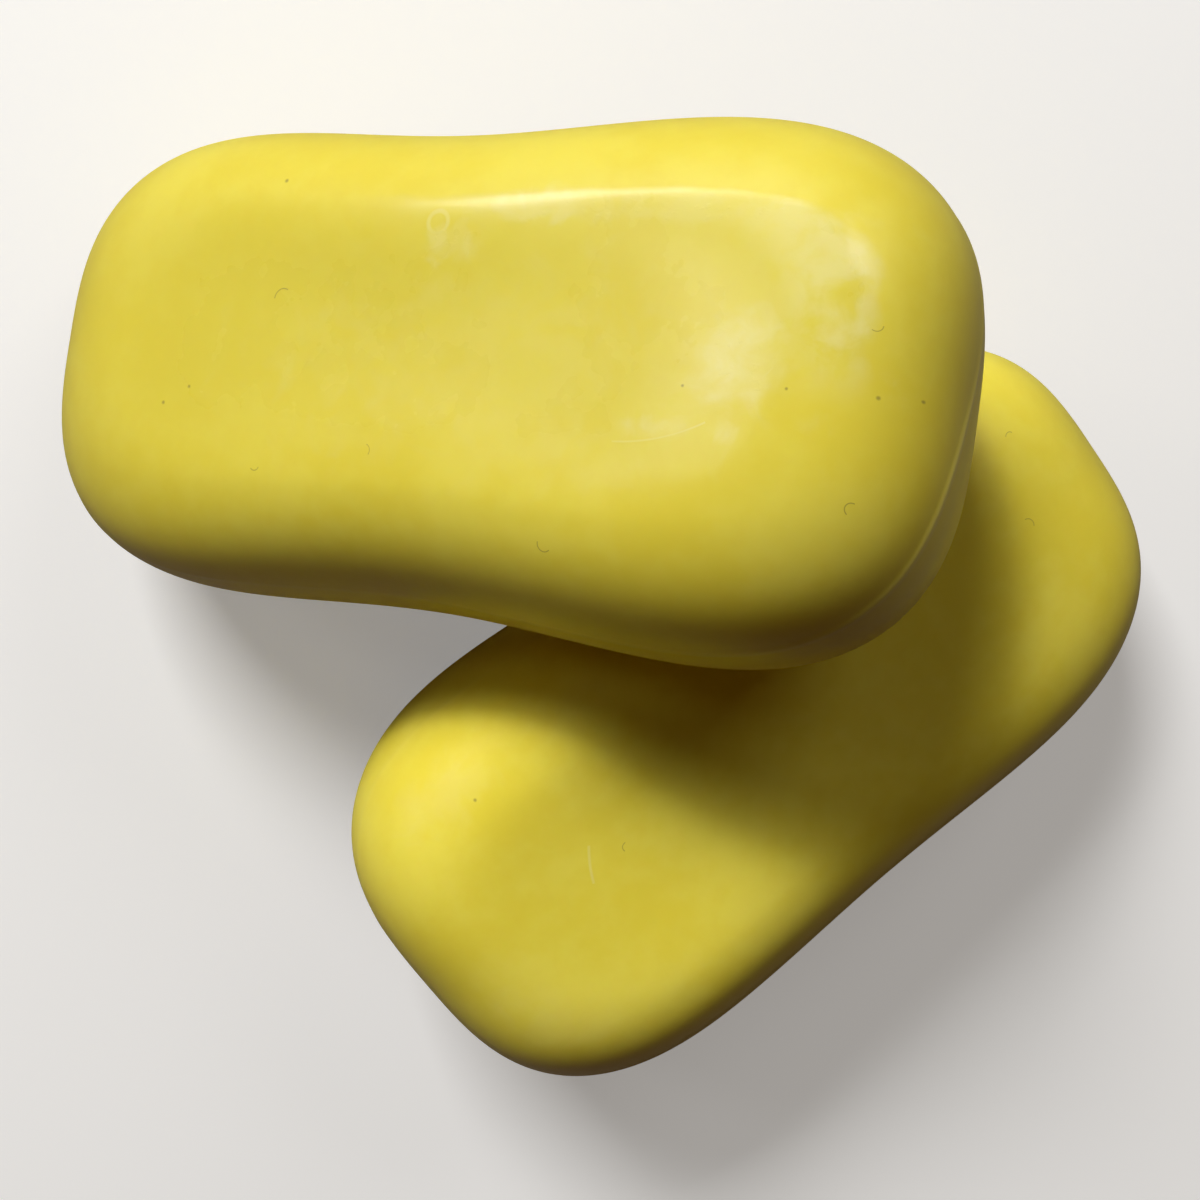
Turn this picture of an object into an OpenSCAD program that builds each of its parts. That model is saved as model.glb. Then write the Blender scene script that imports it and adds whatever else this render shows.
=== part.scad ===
// A pair of smooth, solid soap bars for the bath or massage table.
// One bar lies flat. The other leans on it: its low corner touches the
// table and its underside rests on the long top edge of the flat bar.
//
// Frame: origin at the centre of the flat bar's underside, +Z up, and the
// flat bar's long axis along X with its broad, thick end towards -X.

/* [Bar] */
// Length of a bar
bar_l = 92; // [70:1:110]
// Width of the plain outline, before the sides are drawn in
bar_w = 52; // [40:0.5:64]
// Thickness of a bar at mid-length
bar_t = 32; // [24:0.5:40]
// How square the outline's corners are: 2 is an ellipse
corner_power = 3.05; // [2.2:0.05:5]
// How far the long sides are drawn in at mid-length, as a part of the width
waist = 0.16; // [0:0.01:0.25]
// How far the flat bar's front side is drawn in, which is a little less
flat_front_waist = 0.125; // [0:0.005:0.25]
// How much wider the broad end is, as a part of the width
width_taper = 0.04; // [0:0.005:0.1]
// How much thicker the broad end is, as a part of the thickness
thickness_taper = 0.2; // [0:0.01:0.25]

/* [Edges and faces] */
// How far the rounded edge reaches in from the outline
edge_reach = 14; // [10:0.5:20]
// How square the rounded edge is: 2 is a plain round
edge_power = 2.2; // [2:0.05:4]
// How far the top face falls from mid-length to the ends
crown = 2.4; // [0:0.1:4]
// How deep the top face is dished at its centre
dish = 0.6; // [0:0.1:2]

/* [Leaning bar] */
// Distance of the leaning bar along the flat bar
lean_x = 0.2; // [-10:0.1:10]
// Distance of the leaning bar to the side of the flat bar
lean_y = 39.2; // [39.2:0.1:46]
// Height of the centre of the leaning bar's underside
lean_z = 16.45; // [16.45:0.05:30]
// Roll of the leaning bar about its own length
lean_roll = 14.2; // [13.2:0.1:15.2]
// Tilt of the leaning bar along its length
lean_tilt = 24.6; // [24.1:0.1:25.1]
// Turn of the leaning bar, seen from above
lean_turn = 139.5; // [137:0.5:142]

/* [Smoothness] */
// Points around the outline
outline_steps = 72; // [32:8:96]
// Rings in each rounded edge
edge_steps = 8; // [5:1:12]
// Rings from the rounded edge to the centre of the top face
face_steps = 4; // [2:1:6]

/* [Hidden] */

half_l = bar_l / 2;
half_w = bar_w / 2;
half_t = bar_t / 2;
soap_yellow = [0.87, 0.81, 0.31];

// A power that keeps the sign of its base
function signed_pow(v, p) = sign(v) * pow(abs(v), p);

// How much of the waist is felt at u, which runs from -1 to 1 along the bar
function waist_at(u) = pow(cos(90 * u), 2);

// A point of the outline seen from above, at angle t. front is the waist of
// the side towards -Y.
function outline_x(t) = half_l * signed_pow(cos(t), 2 / corner_power);
function outline_y(t, front) =
    let (u = outline_x(t) / half_l, side_waist = sin(t) < 0 ? front : waist)
    half_w * signed_pow(sin(t), 2 / corner_power)
        * (1 - side_waist * waist_at(u)) * (1 - width_taper * u);

// A point of the rounded edge. f runs from -90 at the underside to 90 at the
// top face. shrink draws the ring towards the centre of the top face.
function bar_point(t, f, shrink, front) =
    let (
        inset = edge_reach * (1 - pow(abs(cos(f)), 2 / edge_power)),
        x = outline_x(t) * (1 - inset / half_l) * shrink,
        y = outline_y(t, front) * (1 - inset / half_w) * shrink,
        u = x / half_l,
        rise = 1 + signed_pow(sin(f), 2 / edge_power),
        fall = crown * u * u * sqrt(max(0, sin(f))),
        hollow = f < 90 ? 0 : dish * pow(1 - shrink * shrink, 2)
    )
    [x, y, half_t * (1 - thickness_taper * u) * rise - fall - hollow];

function ring(f, shrink, front) =
    [for (i = [0 : outline_steps - 1]) bar_point(i * 360 / outline_steps, f, shrink, front)];

// A solid pillow-shaped bar that rests on its flat underside at z = 0
module bar(front = waist) {
    edge_rings = [for (j = [0 : 2 * edge_steps]) ring(-90 + j * 90 / edge_steps, 1, front)];
    face_rings = [for (j = [1 : face_steps - 1]) ring(90, 1 - j / face_steps, front)];
    rings = concat(edge_rings, face_rings);
    n = outline_steps;
    last = (len(rings) - 1) * n;
    centre = len(rings) * n;
    points = concat([for (r = rings) each r], [bar_point(0, 90, 0, front)]);
    underside = [[for (i = [0 : n - 1]) i]];
    walls = [
        for (j = [0 : len(rings) - 2], i = [0 : n - 1])
            let (k = (i + 1) % n, a = j * n, b = a + n)
                each [[a + i, b + i, b + k], [a + i, b + k, a + k]]
    ];
    cap = [for (i = [0 : n - 1]) [last + i, centre, last + (i + 1) % n]];
    polyhedron(points = points, faces = concat(underside, walls, cap));
}

// The bar that lies flat
module lower_bar() {
    color(soap_yellow) bar(flat_front_waist);
}

// The bar that leans on it
module upper_bar() {
    color(soap_yellow)
        translate([lean_x, lean_y, lean_z])
            rotate([lean_roll, lean_tilt, lean_turn])
                bar();
}

lower_bar();
upper_bar();
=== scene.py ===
import math

import bmesh
import bpy
from mathutils import Euler, Matrix, Vector, noise


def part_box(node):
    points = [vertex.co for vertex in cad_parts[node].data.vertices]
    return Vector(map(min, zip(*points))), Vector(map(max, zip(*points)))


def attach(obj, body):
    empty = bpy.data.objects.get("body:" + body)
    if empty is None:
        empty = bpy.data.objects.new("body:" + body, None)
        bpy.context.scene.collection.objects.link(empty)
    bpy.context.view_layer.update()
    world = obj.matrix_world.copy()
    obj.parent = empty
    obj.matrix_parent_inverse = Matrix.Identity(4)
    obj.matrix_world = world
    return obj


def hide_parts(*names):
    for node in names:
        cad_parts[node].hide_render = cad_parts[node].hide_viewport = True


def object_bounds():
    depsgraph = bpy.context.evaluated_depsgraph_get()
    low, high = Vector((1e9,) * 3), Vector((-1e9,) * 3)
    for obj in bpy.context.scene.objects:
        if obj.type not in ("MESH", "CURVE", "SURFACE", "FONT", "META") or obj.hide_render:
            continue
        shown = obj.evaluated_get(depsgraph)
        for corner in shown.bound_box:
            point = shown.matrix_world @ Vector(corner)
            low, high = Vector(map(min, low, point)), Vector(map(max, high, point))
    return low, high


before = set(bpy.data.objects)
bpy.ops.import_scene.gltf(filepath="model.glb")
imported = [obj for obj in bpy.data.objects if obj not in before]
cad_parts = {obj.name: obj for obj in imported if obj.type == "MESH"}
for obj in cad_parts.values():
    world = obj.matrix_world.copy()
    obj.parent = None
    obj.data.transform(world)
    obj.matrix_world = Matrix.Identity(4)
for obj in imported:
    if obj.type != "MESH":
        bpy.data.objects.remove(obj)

cad_low, cad_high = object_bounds()

MM = 0.001

# ---------------------------------------------------------------- the bars

# One bar, in its own frame: its underside lies on z = 0, its length runs
# along x, and its broad, thick end is at -x.
lower_low, lower_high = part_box("lower_bar")
HALF_LENGTH = (lower_high.x - lower_low.x) / 2
HALF_WIDTH = 52 * MM / 2
HALF_THICKNESS = 32 * MM / 2
CORNER_POWER = 3.05
WAIST = 0.16
FLAT_FRONT_WAIST = 0.125
WIDTH_TAPER = 0.04
THICKNESS_TAPER = 0.2
EDGE_REACH = 14 * MM
EDGE_POWER = 2.2
CROWN = 2.4 * MM
DISH = 0.6 * MM

# How the upper bar leans on the lower one
LEAN_ROLL = math.radians(14.2)
LEAN_TILT = math.radians(24.6)
LEAN_TURN = math.radians(139.5)

# Quads along the length, the width and the height of the block that each
# bar is pressed from, and the part of a face that is not rounded over
LENGTH_CUTS = 120
WIDTH_CUTS = 72
HEIGHT_CUTS = 88
FLAT_PART = 0.35

# The soft rim that the mould leaves around the dished top face
RIM_HALF_LENGTH = 38.5 * MM
RIM_HALF_WIDTH = 14.2 * MM
RIM_WAIST = 1.9 * MM
RIM_CORNER_POWER = 4.5
RIM_RISE = 0.03 * MM
RIM_SPREAD = 0.08

# The fine raised line where the two halves of the mould met. It runs along
# one row of the block's side. As an angle up the rounded side, in degrees, it
# is at SEAM_TURN at y = SEAM_MIDDLE, and SEAM_TILT higher towards +Y and lower
# towards -Y. It is plainest at the broad end.
SEAM_ROW = 12 / 44
SEAM_TURN = 11
SEAM_TILT = 12
SEAM_MIDDLE = 1 * MM
SEAM_CLIMB = 9 * MM
SEAM_SPREAD = 1.6
SEAM_LEAST = 0.35
SEAM_RISE = 0.10 * MM
FLAT_BAR_SEAM_RISE = 0.03 * MM

# Hand-pressed unevenness: depth and size of the slow swells in the surface,
# and the height above the table within which they and the rim die away
SWELL_DEPTH = 0.08 * MM
SWELL_SIZE = 17 * MM
CALM_HEIGHT = 2 * MM


def signed_pow(value, power):
    """A power that keeps the sign of its base."""
    return math.copysign(abs(value) ** power, value)


def waist_at(u):
    """How much of the waist is felt at u, which runs from -1 to 1 along the bar."""
    return math.cos(math.pi * u / 2) ** 2


def outline(across_x, across_y, front_waist):
    """The point of the bar's outline in this direction, seen from above."""
    reach = (abs(across_x) ** CORNER_POWER + abs(across_y) ** CORNER_POWER) ** (1 / CORNER_POWER)
    u = across_x / reach
    side_waist = front_waist if across_y < 0 else WAIST
    drawn_in = (1 - side_waist * waist_at(u)) * (1 - WIDTH_TAPER * u)
    return HALF_LENGTH * u, HALF_WIDTH * across_y / reach * drawn_in


def press_point(block, front_waist, seam_rise):
    """Where a point of the two-unit block ends up on the pressed bar, and how much it
    belongs to the seam."""
    across = max(abs(block.x), abs(block.y))
    if across == 0:
        x, y = 0, 0
    else:
        x, y = outline(block.x, block.y, front_waist)
    seam_turn = math.radians(SEAM_TURN + SEAM_TILT * math.tanh((y - SEAM_MIDDLE) / SEAM_CLIMB))
    if abs(block.z) < 1:
        end = math.copysign(1, block.z - SEAM_ROW)
        part = (block.z - SEAM_ROW) / (end - SEAM_ROW)
        turn, shrink = seam_turn + (end * math.pi / 4 - seam_turn) * part, 1
    else:
        past_edge = min(1, (1 - across) / (1 - FLAT_PART))
        turn = math.copysign(math.pi / 4 * (1 + past_edge), block.z)
        shrink = min(1, across / FLAT_PART)
    seam = math.exp(-((math.degrees(turn - seam_turn) / SEAM_SPREAD) ** 2))
    seam *= SEAM_LEAST + (1 - SEAM_LEAST) * max(0, -x / HALF_LENGTH)
    inset = EDGE_REACH * (1 - abs(math.cos(turn)) ** (2 / EDGE_POWER)) - seam_rise * seam
    x *= (1 - inset / HALF_LENGTH) * shrink
    y *= (1 - inset / HALF_WIDTH) * shrink
    u = x / HALF_LENGTH
    rise = 1 + signed_pow(math.sin(turn), 2 / EDGE_POWER)
    z = HALF_THICKNESS * (1 - THICKNESS_TAPER * u) * rise
    if turn > 0:
        z -= CROWN * u * u * math.sqrt(math.sin(turn))
        z -= DISH * (1 - shrink * shrink) ** 2
    return Vector((x, y, z)), seam


def rim_measure(place):
    """1 on the soft rim around the top face, less inside it, and more outside or below."""
    half_width = RIM_HALF_WIDTH - RIM_WAIST * waist_at(place.x / HALF_LENGTH)
    along = (abs(place.x) / RIM_HALF_LENGTH) ** RIM_CORNER_POWER
    across = (abs(place.y) / half_width) ** RIM_CORNER_POWER
    below = max(0, HALF_THICKNESS - place.z) / HALF_THICKNESS
    return (along + across) ** (1 / RIM_CORNER_POWER) + below


def make_bar(name, seed, front_waist, seam_rise):
    """A pressed bar at rest in its own frame. It keeps each point's own place, its
    measure from the rim and its part in the seam as attributes, for the finish."""
    bm = bmesh.new()
    bmesh.ops.create_cube(bm, size=2)
    for axis, cuts in enumerate((LENGTH_CUTS, WIDTH_CUTS, HEIGHT_CUTS)):
        along = [e for e in bm.edges if abs(e.verts[0].co[axis] - e.verts[1].co[axis]) > 1]
        bmesh.ops.subdivide_edges(bm, edges=along, cuts=cuts - 1, use_grid_fill=True)
    seam_layer = bm.verts.layers.float.new("seam_measure")
    for v in bm.verts:
        v.co, v[seam_layer] = press_point(v.co, front_waist, seam_rise)
    bm.normal_update()
    drift = Vector((seed, seed * 2, seed * 3))
    swells = [noise.noise(v.co / SWELL_SIZE + drift) for v in bm.verts]
    for v, swell in zip(bm.verts, swells):
        above_table = min(1, v.co.z / CALM_HEIGHT)
        bead = math.exp(-(((rim_measure(v.co) - 1) / RIM_SPREAD) ** 2))
        v.co += v.normal * (swell * SWELL_DEPTH + bead * RIM_RISE) * above_table
    bmesh.ops.recalc_face_normals(bm, faces=bm.faces)
    for f in bm.faces:
        f.smooth = True
    mesh = bpy.data.meshes.new(name)
    bm.to_mesh(mesh)
    bm.free()
    place = mesh.attributes.new("bar_place", "FLOAT_VECTOR", "POINT")
    place.data.foreach_set("vector", [c for v in mesh.vertices for c in v.co])
    rim = mesh.attributes.new("rim_measure", "FLOAT", "POINT")
    rim.data.foreach_set("value", [rim_measure(v.co) for v in mesh.vertices])
    bar = bpy.data.objects.new(name, mesh)
    bpy.context.scene.collection.objects.link(bar)
    return bar


def lean(bar, node):
    """Turns the bar's mesh to the leaning pose and centres it on its CAD node."""
    mesh = bar.data
    mesh.transform(Euler((LEAN_ROLL, LEAN_TILT, LEAN_TURN)).to_matrix().to_4x4())
    low = Vector([min(v.co[i] for v in mesh.vertices) for i in range(3)])
    high = Vector([max(v.co[i] for v in mesh.vertices) for i in range(3)])
    node_low, node_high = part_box(node)
    shift = (node_low + node_high - low - high) / 2
    for v in mesh.vertices:
        v.co += shift


# ------------------------------------------------------------ node helpers


def node(tree, kind, **settings):
    """A node of this kind, with its settings or its inputs' values set by name."""
    made = tree.nodes.new(kind)
    for key, value in settings.items():
        if key.startswith("in_"):
            made.inputs[key[3:].replace("_", " ")].default_value = value
        else:
            setattr(made, key, value)
    return made


def math_node(tree, operation, first, second=None, third=None):
    """The result of a Math node whose inputs are numbers or other nodes' outputs."""
    made = node(tree, "ShaderNodeMath", operation=operation)
    for socket, value in zip(made.inputs, (first, second, third)):
        if value is None:
            continue
        if isinstance(value, (int, float)):
            socket.default_value = value
        else:
            tree.links.new(value, socket)
    return made.outputs[0]


def ramp(tree, value, low, high):
    """0 where value is at low, 1 where it is at high, and smooth between."""
    made = node(tree, "ShaderNodeMapRange", interpolation_type="SMOOTHSTEP")
    tree.links.new(value, made.inputs["Value"])
    for name, limit in (("From Min", low), ("From Max", high)):
        if isinstance(limit, (int, float)):
            made.inputs[name].default_value = limit
        else:
            tree.links.new(limit, made.inputs[name])
    return made.outputs["Result"]


def noise_value(tree, place, scale, detail=2.0, distortion=0.0):
    """Noise from 0 to 1 at this scale, in features per metre."""
    made = node(tree, "ShaderNodeTexNoise", in_Detail=detail, in_Distortion=distortion)
    tree.links.new(place, made.inputs["Vector"])
    if isinstance(scale, (int, float)):
        made.inputs["Scale"].default_value = scale
    else:
        tree.links.new(scale, made.inputs["Scale"])
    return made.outputs["Fac"]


def mix_colour(tree, amount, first, second):
    """The first colour where amount is 0, and the second where it is 1."""
    made = node(tree, "ShaderNodeMix", data_type="RGBA")
    for socket, value in ((made.inputs[0], amount), (made.inputs[6], first), (made.inputs[7], second)):
        if isinstance(value, (int, float, tuple)):
            socket.default_value = value
        else:
            tree.links.new(value, socket)
    return made.outputs[2]


def new_group(name, inputs, outputs):
    """A shader node group with these inputs, as (name, kind, value), and value outputs."""
    group = bpy.data.node_groups.new(name, "ShaderNodeTree")
    for label, kind, value in inputs:
        socket = group.interface.new_socket(name=label, in_out="INPUT", socket_type=kind)
        if value is not None:
            socket.default_value = value
    for label in outputs:
        group.interface.new_socket(name=label, in_out="OUTPUT", socket_type="NodeSocketFloat")
    return group, group.nodes.new("NodeGroupInput").outputs, group.nodes.new("NodeGroupOutput").inputs


def place_group(tree, group, place, **values):
    """The outputs of a shared effect that follows this place, with its own values."""
    made = node(tree, "ShaderNodeGroup", node_tree=group)
    tree.links.new(place, made.inputs["Place"])
    for label, value in values.items():
        made.inputs[label.replace("_", " ")].default_value = value
    return made.outputs


# ---------------------------------------------------------- shared effects


def build_mottle():
    """Cloudy, slow changes in the depth of the soap's colour."""
    group, given, result = new_group(
        "soap_mottle",
        [("Place", "NodeSocketVector", None), ("Cloud Scale", "NodeSocketFloat", 60.0)],
        ["Cloud"],
    )
    wide = noise_value(group, given["Place"], given["Cloud Scale"], detail=3.0)
    fine_scale = math_node(group, "MULTIPLY", given["Cloud Scale"], 7.0)
    fine = noise_value(group, given["Place"], fine_scale, detail=2.0)
    both = math_node(group, "MULTIPLY_ADD", fine, 0.3, math_node(group, "MULTIPLY", wide, 0.7))
    group.links.new(ramp(group, both, 0.35, 0.65), result["Cloud"])
    return group


def build_grain():
    """The fine, even grain of a pressed bar's skin, as a height."""
    group, given, result = new_group(
        "press_grain",
        [("Place", "NodeSocketVector", None), ("Grain Scale", "NodeSocketFloat", 2600.0)],
        ["Height"],
    )
    grain = noise_value(group, given["Place"], given["Grain Scale"], detail=2.0)
    pores = noise_value(group, given["Place"], math_node(group, "MULTIPLY", given["Grain Scale"], 0.3))
    height = math_node(group, "MULTIPLY_ADD", pores, 0.5, math_node(group, "MULTIPLY", grain, 0.5))
    group.links.new(height, result["Height"])
    return group


def build_lather_glare_patch():
    """A ragged patch of dried lather, with streaks and sparkle in it. Some patches are also painted glare
    and highlight.
    """
    group, given, result = new_group(
        "dried_lather_and_glare",
        [
            ("Place", "NodeSocketVector", None),
            ("Centre", "NodeSocketVector", (0, 0, 0)),
            ("Reach", "NodeSocketVector", (0.02, 0.01, 0.02)),
            ("Raggedness", "NodeSocketFloat", 0.5),
            ("Streak Scale", "NodeSocketFloat", 320.0),
        ],
        ["Film", "Sparkle"],
    )
    away = node(group, "ShaderNodeVectorMath", operation="SUBTRACT")
    group.links.new(given["Place"], away.inputs[0])
    group.links.new(given["Centre"], away.inputs[1])
    scaled = node(group, "ShaderNodeVectorMath", operation="DIVIDE")
    group.links.new(away.outputs[0], scaled.inputs[0])
    group.links.new(given["Reach"], scaled.inputs[1])
    distance = node(group, "ShaderNodeVectorMath", operation="LENGTH")
    group.links.new(scaled.outputs[0], distance.inputs[0])
    torn = noise_value(group, given["Place"], 260.0, detail=5.0, distortion=0.8)
    torn = math_node(group, "MULTIPLY", math_node(group, "SUBTRACT", torn, 0.5), given["Raggedness"])
    edge = math_node(group, "MULTIPLY_ADD", torn, 3.0, distance.outputs["Value"])
    patch = ramp(group, edge, 1.15, 0.35)
    streaks = noise_value(group, given["Place"], given["Streak Scale"], detail=4.0, distortion=0.5)
    streaks = ramp(group, streaks, 0.30, 0.68)
    lather_glare_patch = math_node(group, "MULTIPLY", patch, math_node(group, "MULTIPLY_ADD", streaks, 0.65, 0.35))
    group.links.new(lather_glare_patch, result["Film"])
    grit = noise_value(group, given["Place"], 1500.0, detail=3.0)
    group.links.new(math_node(group, "MULTIPLY", patch, ramp(group, grit, 0.56, 0.70)), result["Sparkle"])
    return group


def build_rim_film_and_highlight():
    """The glossy skin inside the rim, and a cloudy pale line along it that is partly dried lather and
    partly a painted highlight.
    """
    group, given, result = new_group(
        "rim_film_and_highlight",
        [("Place", "NodeSocketVector", None), ("Rim", "NodeSocketFloat", 2.0)],
        ["Inside", "Line"],
    )
    wander = noise_value(group, given["Place"], 150.0, detail=3.0)
    wander = math_node(group, "MULTIPLY", math_node(group, "SUBTRACT", wander, 0.5), 0.10)
    rim = math_node(group, "ADD", given["Rim"], wander)
    # The edge of the skin is crisp on the -Y side of the broad half, and soft elsewhere
    parts = node(group, "ShaderNodeSeparateXYZ")
    group.links.new(given["Place"], parts.inputs[0])
    crisp_side = ramp(group, parts.outputs["Y"], 4 * MM, -4 * MM)
    crisp = math_node(group, "MULTIPLY", crisp_side, ramp(group, parts.outputs["X"], 10 * MM, -6 * MM))
    soft_inside = ramp(group, rim, 1.15, 0.45)
    crisp_inside = ramp(group, rim, 1.04, 0.99)
    sharper = math_node(group, "SUBTRACT", crisp_inside, soft_inside)
    inside = math_node(group, "MULTIPLY_ADD", sharper, crisp, soft_inside)
    group.links.new(inside, result["Inside"])
    # The pale line is dried lather and a painted highlight. It lies just inside the rim, where the skin's
    # edge is crisp
    line = math_node(group, "MULTIPLY", crisp_inside, ramp(group, rim, 0.74, 0.93))
    line = math_node(group, "MULTIPLY", line, crisp)
    cloud = ramp(group, noise_value(group, given["Place"], 330.0, detail=4.0, distortion=0.3), 0.30, 0.62)
    group.links.new(math_node(group, "MULTIPLY", line, cloud), result["Line"])
    return group


def build_specks():
    """Rare dark specks of dust pressed into the skin."""
    group, given, result = new_group(
        "dust_specks",
        [
            ("Place", "NodeSocketVector", None),
            ("Spacing Scale", "NodeSocketFloat", 75.0),
            ("Speck Size", "NodeSocketFloat", 0.022),
        ],
        ["Speck"],
    )
    cells = node(group, "ShaderNodeTexVoronoi")
    group.links.new(given["Place"], cells.inputs["Vector"])
    group.links.new(given["Spacing Scale"], cells.inputs["Scale"])
    parts = node(group, "ShaderNodeSeparateColor")
    group.links.new(cells.outputs["Color"], parts.inputs[0])
    chosen = math_node(group, "GREATER_THAN", parts.outputs[0], 0.60)
    size = math_node(group, "MULTIPLY", given["Speck Size"], parts.outputs[1])
    dot = ramp(group, cells.outputs["Distance"], size, math_node(group, "MULTIPLY", size, 0.4))
    group.links.new(math_node(group, "MULTIPLY", dot, chosen), result["Speck"])
    return group


def build_curl():
    """A dot, a ring or a short curved hair on the top face."""
    group, given, result = new_group(
        "curl_mark",
        [
            ("Place", "NodeSocketVector", None),
            ("Centre", "NodeSocketVector", (0, 0, 0)),
            ("Radius", "NodeSocketFloat", 0.0005),
            ("Width", "NodeSocketFloat", 0.0001),
            ("Facing", "NodeSocketVector", (1, 0, 0)),
            ("Opening", "NodeSocketFloat", -1.1),
        ],
        ["Mark"],
    )
    flat = node(group, "ShaderNodeVectorMath", operation="MULTIPLY")
    flat.inputs[1].default_value = (1, 1, 0)
    group.links.new(given["Place"], flat.inputs[0])
    away = node(group, "ShaderNodeVectorMath", operation="SUBTRACT")
    group.links.new(flat.outputs[0], away.inputs[0])
    group.links.new(given["Centre"], away.inputs[1])
    distance = node(group, "ShaderNodeVectorMath", operation="LENGTH")
    group.links.new(away.outputs[0], distance.inputs[0])
    unit = node(group, "ShaderNodeVectorMath", operation="NORMALIZE")
    group.links.new(away.outputs[0], unit.inputs[0])
    along = node(group, "ShaderNodeVectorMath", operation="DOT_PRODUCT")
    group.links.new(unit.outputs[0], along.inputs[0])
    group.links.new(given["Facing"], along.inputs[1])
    off_line = math_node(group, "SUBTRACT", distance.outputs["Value"], given["Radius"])
    off_line = math_node(group, "ABSOLUTE", off_line)
    line = ramp(group, off_line, given["Width"], math_node(group, "MULTIPLY", given["Width"], 0.2))
    open_part = math_node(group, "GREATER_THAN", along.outputs["Value"], given["Opening"])
    group.links.new(math_node(group, "MULTIPLY", line, open_part), result["Mark"])
    return group


mottle = build_mottle()
grain = build_grain()
lather_glare_patch = build_lather_glare_patch()
rim_film_and_highlight = build_rim_film_and_highlight()
specks = build_specks()
curl = build_curl()

# -------------------------------------------------------------- the finish

DEEP_YELLOW = (0.79, 0.66, 0.055, 1)
PALE_YELLOW = (0.83, 0.72, 0.085, 1)
SKIN_YELLOW = (0.76, 0.66, 0.095, 1)
LATHER_AND_HIGHLIGHT_YELLOW = (0.86, 0.79, 0.30, 1)
SPECK_BROWN = (0.20, 0.14, 0.04, 1)


def marks(tree, place, rows):
    """The strongest of several small marks, one for each row."""
    shown = 0.0
    for x, y, radius, width, facing, half_opening in rows:
        turn = math.radians(facing)
        mark = place_group(
            tree,
            curl,
            place,
            Centre=(x * MM, y * MM, 0),
            Radius=radius * MM,
            Width=width * MM,
            Facing=(math.cos(turn), math.sin(turn), 0),
            Opening=math.cos(math.radians(half_opening)) if half_opening < 180 else -1.1,
        )
        shown = math_node(tree, "MAXIMUM", mark["Mark"], shown)
    return shown


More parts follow.
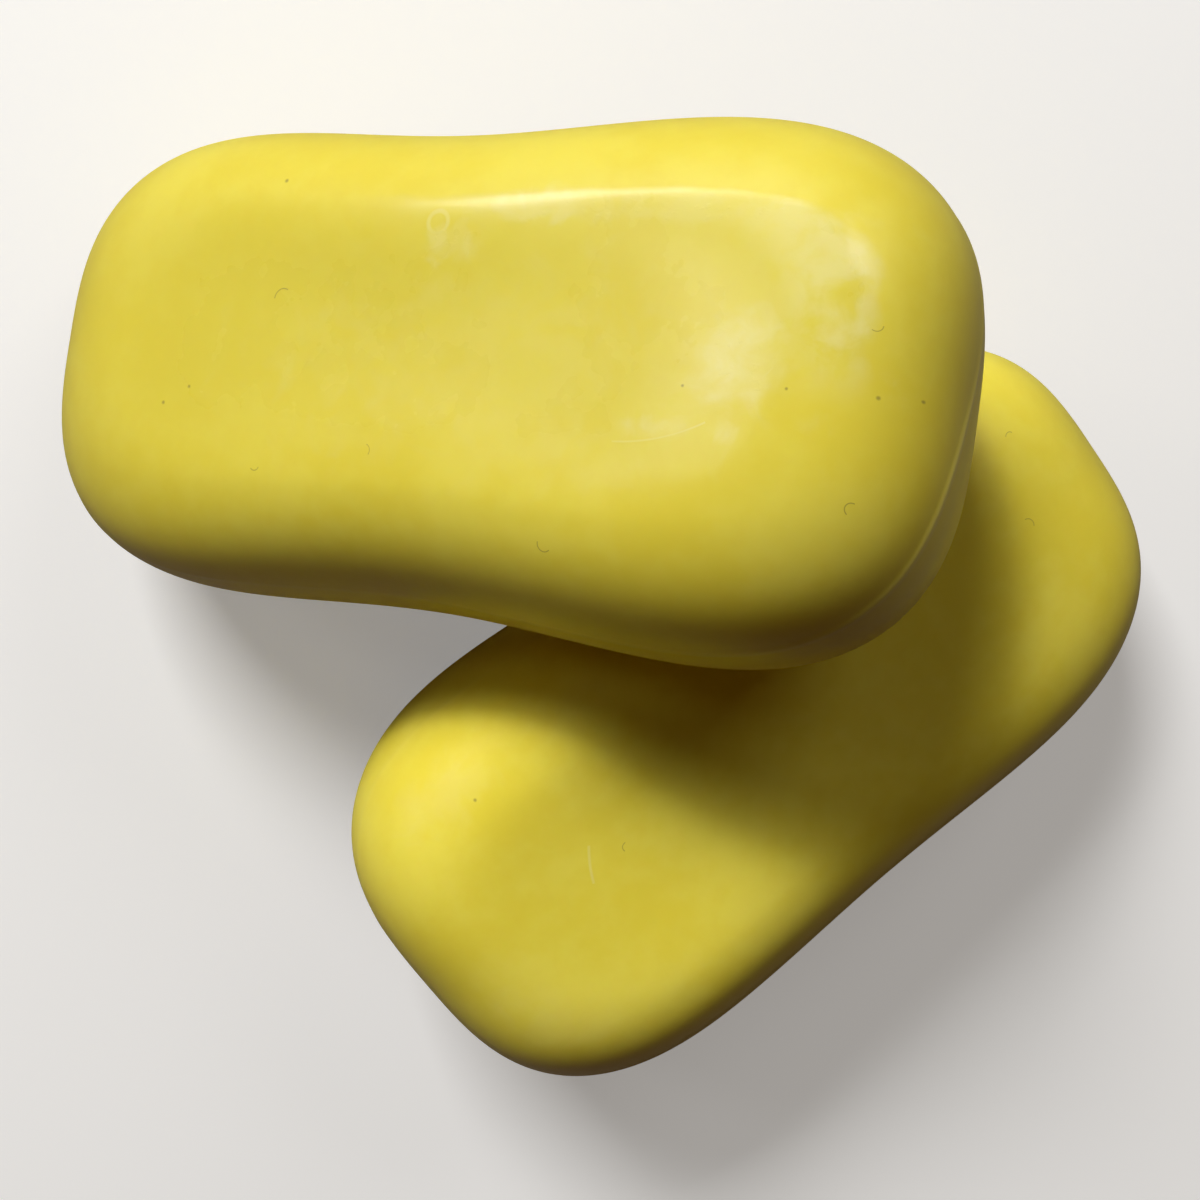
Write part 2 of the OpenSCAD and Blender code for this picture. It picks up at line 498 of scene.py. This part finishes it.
def soap(name, skin_and_rim_highlight_amount, seam_highlight_amount, patches, dust, scuffs):
    """Satin, slightly translucent yellow soap with a glossy skin inside the rim, pale
    patches and lines that are partly dried lather and partly painted glare and
    highlight, and the marks listed in dust and scuffs."""
    material = bpy.data.materials.new(name)
    material.use_nodes = True
    tree = material.node_tree
    shader = tree.nodes["Principled BSDF"]
    place = node(tree, "ShaderNodeAttribute", attribute_name="bar_place").outputs["Vector"]
    rim = node(tree, "ShaderNodeAttribute", attribute_name="rim_measure").outputs["Fac"]
    seam = node(tree, "ShaderNodeAttribute", attribute_name="seam_measure").outputs["Fac"]

    cloud = place_group(tree, mottle, place)["Cloud"]
    speck = place_group(tree, specks, place)["Speck"]
    rim_skin = place_group(tree, rim_film_and_highlight, place)
    tree.links.new(rim, rim_skin["Inside"].node.inputs["Rim"])
    inside = math_node(tree, "MULTIPLY", rim_skin["Inside"], skin_and_rim_highlight_amount)
    line = math_node(tree, "MULTIPLY", rim_skin["Line"], skin_and_rim_highlight_amount)

    lather_and_glare, sparkle = 0.0, 0.0
    for centre, reach, raggedness, amount in patches:
        patch = place_group(
            tree,
            lather_glare_patch,
            place,
            Centre=[c * MM for c in centre],
            Reach=[r * MM for r in reach],
            Raggedness=raggedness,
        )
        shown = math_node(tree, "MULTIPLY", patch["Film"], amount)
        glint = math_node(tree, "MULTIPLY", patch["Sparkle"], amount)
        lather_and_glare = math_node(tree, "MAXIMUM", shown, lather_and_glare)
        sparkle = math_node(tree, "MAXIMUM", glint, sparkle)

    # The pale rim line, dried lather and a painted highlight, is thick only around the broad end of the
    # bar
    parts = node(tree, "ShaderNodeSeparateXYZ")
    tree.links.new(place, parts.inputs[0])
    broad_end = ramp(tree, parts.outputs["X"], -24 * MM, -36 * MM)
    line = math_node(tree, "MULTIPLY", line, math_node(tree, "MULTIPLY_ADD", broad_end, 0.75, 0.25))
    pale_marks_and_highlight = math_node(tree, "MAXIMUM", lather_and_glare, line)
    scuffed = math_node(tree, "MULTIPLY", marks(tree, place, scuffs), 0.6)
    pale_marks_and_highlight = math_node(tree, "MAXIMUM", pale_marks_and_highlight, scuffed)
    # A pale line painted along the seam: a painted highlight on its ridge, partly dried soap
    pressed = math_node(tree, "MULTIPLY", seam, seam_highlight_amount)
    pale_marks_and_highlight = math_node(tree, "MAXIMUM", pale_marks_and_highlight, pressed)
    dirt = math_node(tree, "MAXIMUM", speck, marks(tree, place, dust))

    colour = mix_colour(tree, cloud, DEEP_YELLOW, PALE_YELLOW)
    colour = mix_colour(tree, math_node(tree, "MULTIPLY", inside, 0.45), colour, SKIN_YELLOW)
    # Paler where lather dried and on the scuffs, and where glare and highlights are painted along the rim,
    # the seam and the patches
    colour = mix_colour(tree, math_node(tree, "MULTIPLY", pale_marks_and_highlight, 0.75), colour, LATHER_AND_HIGHLIGHT_YELLOW)
    colour = mix_colour(tree, math_node(tree, "MULTIPLY", dirt, 0.6), colour, SPECK_BROWN)
    tree.links.new(colour, shader.inputs["Base Color"])

    rough = math_node(tree, "MULTIPLY_ADD", cloud, 0.05, 0.40)
    rough = math_node(tree, "MULTIPLY_ADD", inside, -0.15, rough)
    tree.links.new(rough, shader.inputs["Roughness"])

    skin = place_group(tree, grain, place)["Height"]
    height = math_node(tree, "MULTIPLY_ADD", sparkle, 1.8, skin)
    height = math_node(tree, "MULTIPLY_ADD", pale_marks_and_highlight, 0.8, height)
    height = math_node(tree, "MULTIPLY_ADD", inside, 0.4, height)
    bump = node(tree, "ShaderNodeBump", in_Strength=0.22, in_Distance=0.03 * MM)
    tree.links.new(height, bump.inputs["Height"])
    tree.links.new(bump.outputs["Normal"], shader.inputs["Normal"])

    # A thin glossy coat, thickest where the lather dried to a skin
    tree.links.new(math_node(tree, "MULTIPLY_ADD", inside, 0.60, 0.03), shader.inputs["Coat Weight"])
    shader.inputs["Coat Roughness"].default_value = 0.16
    shader.inputs["Coat IOR"].default_value = 1.45
    shader.inputs["IOR"].default_value = 1.42
    shader.inputs["Subsurface Weight"].default_value = 0.15
    shader.inputs["Subsurface Radius"].default_value = (1.0, 0.7, 0.12)
    shader.inputs["Subsurface Scale"].default_value = 3 * MM
    return material


def finish_bar(bar, body, material):
    """Gives the bar its soap, and ties it to the body that it stands for."""
    bar.data.materials.append(material)
    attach(bar, body)
    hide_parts(body)


# Patches of dried lather: centre and reach in a bar's own frame in mm, how
# ragged the patch is, and how much of it shows. On the leaning bar they are
# also painted glare on the top face near the broad end, and a painted
# highlight along the rim on the -Y side
LEANING_BAR_LATHER_AND_GLARE = (
    ((-30, 0, 35), (5.5, 4.2, 20), 0.5, 1.0),
    ((-25, 5.6, 35), (6, 1.3, 20), 0.9, 0.8),
    ((-12, -11.6, 33), (9, 1.6, 20), 0.8, 0.7),
    ((-24, -11.6, 33), (14, 1.5, 20), 0.7, 0.5),
    ((-4, -8.5, 33), (3.2, 2.2, 20), 1.0, 0.7),
    ((-10, 2, 34), (24, 9, 20), 1.0, 0.2),
)
FLAT_BAR_LATHER = (((-29, 17, 32), (7, 3, 20), 0.8, 0.25),)

# Dust and lint, then pale rings and scratches, on each top face. A row is x, y,
# radius and width in mm, then the way it faces and half its opening in degrees.
LEANING_BAR_DUST = (
    (15.3, -14.2, 0, 0.28, 0, 180),
    (-40.2, 1.7, 0, 0.24, 0, 180),
    (-43.1, 1.1, 0, 0.2, 0, 180),
    (25.5, 6.4, 0, 0.26, 0, 180),
    (22.7, 4.8, 0, 0.24, 0, 180),
    (-25.5, 2.3, 0, 0.18, 0, 180),
    (-33.7, 2.0, 0, 0.18, 0, 180),
    (-15.4, 15.5, 0.6, 0.06, 60, 75),
    (-39.3, 10.2, 0.5, 0.06, -30, 80),
    (-39.4, -3.7, 0.5, 0.05, 120, 60),
    (2.4, 9.4, 0.6, 0.05, 200, 50),
    (13.7, 11.4, 0.5, 0.06, 100, 60),
    (13.6, -3.5, 0.9, 0.08, -60, 60),
)
LEANING_BAR_SCUFFS = (
    (-1.7, -10.2, 0.95, 0.3, 0, 180),
    (-31.6, -12.1, 0.5, 0.2, 0, 180),
    (-27.5, -2.9, 6.0, 0.15, 138, 8),
    (-20.0, -9.0, 16, 0.12, 105, 14),
)
FLAT_BAR_DUST = (
    (-26.9, 15.1, 0, 0.24, 0, 180),
    (37.0, 9.1, 0.5, 0.06, 80, 60),
    (33.0, 1.1, 0.7, 0.06, 20, 60),
    (-18.2, 2.0, 0.5, 0.06, 140, 60),
)
FLAT_BAR_SCUFFS = ((-10, -4, 14, 0.2, 150, 8),)

lower_soap = soap("lower_bar_soap", 0.15, 0.1, FLAT_BAR_LATHER, FLAT_BAR_DUST, FLAT_BAR_SCUFFS)
upper_soap = soap("upper_bar_soap", 1.0, 0.5, LEANING_BAR_LATHER_AND_GLARE, LEANING_BAR_DUST, LEANING_BAR_SCUFFS)

lower = make_bar("flat_soap_bar", 1, FLAT_FRONT_WAIST, FLAT_BAR_SEAM_RISE)
upper = make_bar("leaning_soap_bar", 2, WAIST, SEAM_RISE)
lean(upper, "upper_bar")
finish_bar(lower, "lower_bar", lower_soap)
finish_bar(upper, "upper_bar", upper_soap)

# ------------------------------------------------- table, light and camera

TABLE_HALF_WIDTH = 1.5
BOUNCE_BROWN = (0.16, 0.085, 0.02, 1)
MIRROR_GREY = (0.34, 0.33, 0.30, 1)
PALE_GREY = (0.86, 0.86, 0.855, 1)


def make_table():
    """A pale table top. Light that bounces from it is dim and warm, like off dark wood."""
    bm = bmesh.new()
    bmesh.ops.create_grid(bm, x_segments=4, y_segments=4, size=TABLE_HALF_WIDTH)
    bmesh.ops.translate(bm, verts=bm.verts, vec=(0, 0, cad_low.z - 0.05 * MM))
    mesh = bpy.data.meshes.new("pale_table")
    bm.to_mesh(mesh)
    bm.free()
    table = bpy.data.objects.new("pale_table", mesh)
    bpy.context.scene.collection.objects.link(table)
    material = bpy.data.materials.new("pale_table")
    material.use_nodes = True
    tree = material.node_tree
    shader = tree.nodes["Principled BSDF"]
    path = node(tree, "ShaderNodeLightPath")
    colour = mix_colour(tree, path.outputs["Is Glossy Ray"], BOUNCE_BROWN, MIRROR_GREY)
    colour = mix_colour(tree, path.outputs["Is Camera Ray"], colour, PALE_GREY)
    tree.links.new(colour, shader.inputs["Base Color"])
    # The table glows faintly to the camera only. This is painted light that makes the table, and the
    # shadows on it, paler
    glow = math_node(tree, "MULTIPLY", path.outputs["Is Camera Ray"], 0.30)
    tree.links.new(glow, shader.inputs["Emission Strength"])
    shader.inputs["Emission Color"].default_value = PALE_GREY
    shader.inputs["Roughness"].default_value = 0.7
    mesh.materials.append(material)


def direction(turn, height):
    """Unit vector towards a turn from +X and a height above the table, in degrees."""
    turn, height = math.radians(turn), math.radians(height)
    return Vector((math.cos(turn) * math.cos(height), math.sin(turn) * math.cos(height), math.sin(height)))


def place_light(data, turn, height, distance, aim, only=None):
    """Aims a light from this direction. If a bar is given, only that bar receives it."""
    light = bpy.data.objects.new(data.name, data)
    towards = direction(turn, height)
    light.location = aim + towards * distance
    light.rotation_euler = towards.to_track_quat("Z", "Y").to_euler()
    bpy.context.scene.collection.objects.link(light)
    if only:
        receivers = bpy.data.collections.new(data.name + "_receivers")
        receivers.objects.link(only)
        light.light_linking.receiver_collection = receivers
    return light


def soft_light(name, turn, height, distance, width, tall, power, lights=True, shines=True, only=None):
    """A rectangular light in metres and watts. It may do without its light or its shine."""
    data = bpy.data.lights.new(name, "AREA")
    data.shape = "RECTANGLE"
    data.size = width
    data.size_y = tall
    data.energy = power
    light = place_light(data, turn, height, distance, centre, only)
    light.visible_diffuse = lights
    light.visible_glossy = shines


def window_patch(turn, height, distance, width, power):
    """More light from the window on the near end of the flat bar only."""
    data = bpy.data.lights.new("window_patch", "SPOT")
    data.shadow_soft_size = width / 2
    data.energy = power
    data.spot_size = math.radians(9)
    data.spot_blend = 1
    light = place_light(data, turn, height, distance, Vector((-24, 4, 30)) * MM, lower)
    light.visible_glossy = False


def make_world():
    """A dim, warm room that the camera sees as pale grey."""
    world = bpy.data.worlds.new("studio")
    world.use_nodes = True
    tree = world.node_tree
    fill = tree.nodes["Background"]
    fill.inputs["Color"].default_value = (1, 0.55, 0.08, 1)
    fill.inputs["Strength"].default_value = 0.05
    pale = node(tree, "ShaderNodeBackground", in_Color=PALE_GREY, in_Strength=0.9)
    seen = node(tree, "ShaderNodeLightPath").outputs["Is Camera Ray"]
    both = node(tree, "ShaderNodeMixShader")
    tree.links.new(seen, both.inputs[0])
    tree.links.new(fill.outputs[0], both.inputs[1])
    tree.links.new(pale.outputs[0], both.inputs[2])
    tree.links.new(both.outputs[0], tree.nodes["World Output"].inputs[0])
    bpy.context.scene.world = world
    bpy.context.scene.view_settings.view_transform = "Standard"


# The camera looks down on the bars from 77 degrees above the table. The turns
# of the lights are given from the direction that is up in its picture.
CAMERA_TURN = 74.9
CAMERA_HEIGHT = 77.3
CAMERA_UP = 53.0
CAMERA_DISTANCE = 150 * MM
CAMERA_AIM = Vector((-5.75, 22.31, 28.73)) * MM
LENS = 45.85


def make_camera():
    """The camera, turned so that CAMERA_UP points up in its picture."""
    data = bpy.data.cameras.new("camera")
    data.lens = LENS
    data.sensor_width = 36
    data.clip_start = 1 * MM
    camera = bpy.data.objects.new("camera", data)
    back = direction(CAMERA_TURN, CAMERA_HEIGHT)
    side = direction(CAMERA_UP, 0).cross(back).normalized()
    up = back.cross(side)
    camera.rotation_euler = Matrix((side, up, back)).transposed().to_euler()
    camera.location = CAMERA_AIM + back * CAMERA_DISTANCE
    bpy.context.scene.collection.objects.link(camera)
    bpy.context.scene.camera = camera


centre = (cad_low + cad_high) / 2
make_table()
soft_light("window", CAMERA_UP + 26, 36, 0.9, 0.34, 0.24, 7.5, shines=False)
soft_light("low_window", CAMERA_UP + 24, 16, 1.1, 1.10, 0.20, 5.6, lights=False)
soft_light("left_wall", CAMERA_UP + 57, 36, 1.1, 0.16, 0.16, 0.4)
soft_light("right_wall", CAMERA_UP - 32, 34, 1.1, 0.5, 0.4, 1.6)
soft_light("upper_right_wall", CAMERA_UP - 32, 20, 1.1, 0.5, 0.4, 0.5, only=upper)
window_patch(CAMERA_UP + 26, 36, 0.9, 0.26, 56)
make_world()
make_camera()
